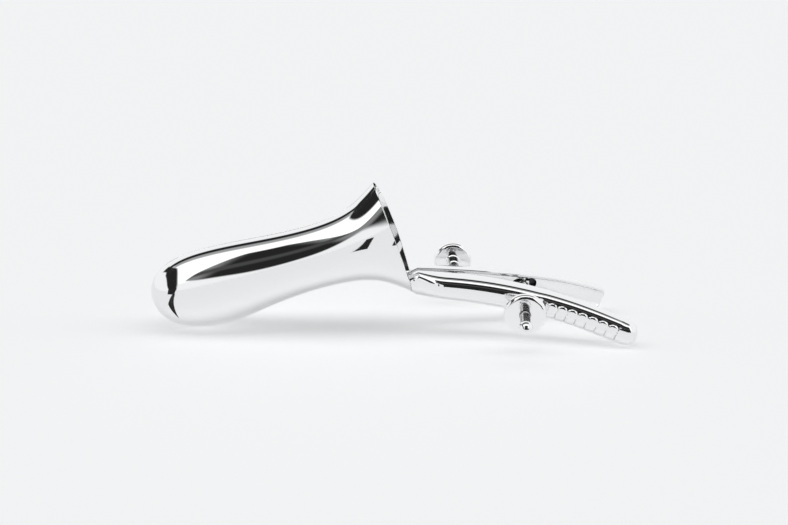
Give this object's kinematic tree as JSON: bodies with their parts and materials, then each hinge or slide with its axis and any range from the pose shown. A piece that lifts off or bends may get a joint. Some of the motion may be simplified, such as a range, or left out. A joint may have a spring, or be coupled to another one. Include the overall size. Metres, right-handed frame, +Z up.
{
  "type": "bivalve speculum",
  "caption": "Plated steel bivalve speculum: two half-tube blades with a flared mouth and ridged handles, joined by two screws with disc nuts.",
  "frame": {"origin": "under the middle of the bounding box, on the plane that the blade and the handle tips rest on", "axes": "+X from the blade tips to the handle ends, +Y from the left half to the right half across the split, +Z up"},
  "size_m": [0.2166, 0.0916, 0.069],
  "materials": {
    "bright": "mirror bright plate",
    "satin": "satin, turned"
  },
  "bodies": {
    "left_side": {"left_half": "bright", "spread_screw_pin": "satin"},
    "spread_screw_side": {"spread_screw": "bright", "spread_screw_stop": "bright"},
    "right_side": {"right_half": "bright", "handle_screw_pin": "satin"},
    "spread_nut_side": {"spread_nut": "satin"},
    "handle_screw_side": {"handle_screw": "bright", "handle_screw_stop": "bright"},
    "handle_nut_side": {"handle_nut": "satin"}
  },
  "joints": [
    {"name": "blade_opening", "type": "hinge", "parent": "left_side", "child": "spread_screw_side", "pos_m": [0.03022, -0.00781, 0.02174], "axis": [0, 0, 1], "range_deg": [-18, 0]},
    {"name": "mouth_spread", "type": "slide", "parent": "spread_screw_side", "child": "right_side", "axis": [0, 1, 0], "range_m": [0, 0.0026]},
    {"name": "spread_nut_travel", "type": "slide", "parent": "spread_screw_side", "child": "spread_nut_side", "axis": [0, 1, 0], "range_m": [-0.0055, 0.0114]},
    {"name": "handle_screw_swivel", "type": "hinge", "parent": "right_side", "child": "handle_screw_side", "pos_m": [0.06202, 0.00777, 0.01774], "axis": [0, 0, 1], "range_deg": [0, 18]},
    {"name": "handle_nut_travel", "type": "slide", "parent": "handle_screw_side", "child": "handle_nut_side", "axis": [-0.1219, -0.9925, 0], "range_m": [0, 0.0098]}
  ],
  "couplings": [
    {"joint": "handle_screw_swivel", "follows": "blade_opening", "ratio": -1}
  ]
}
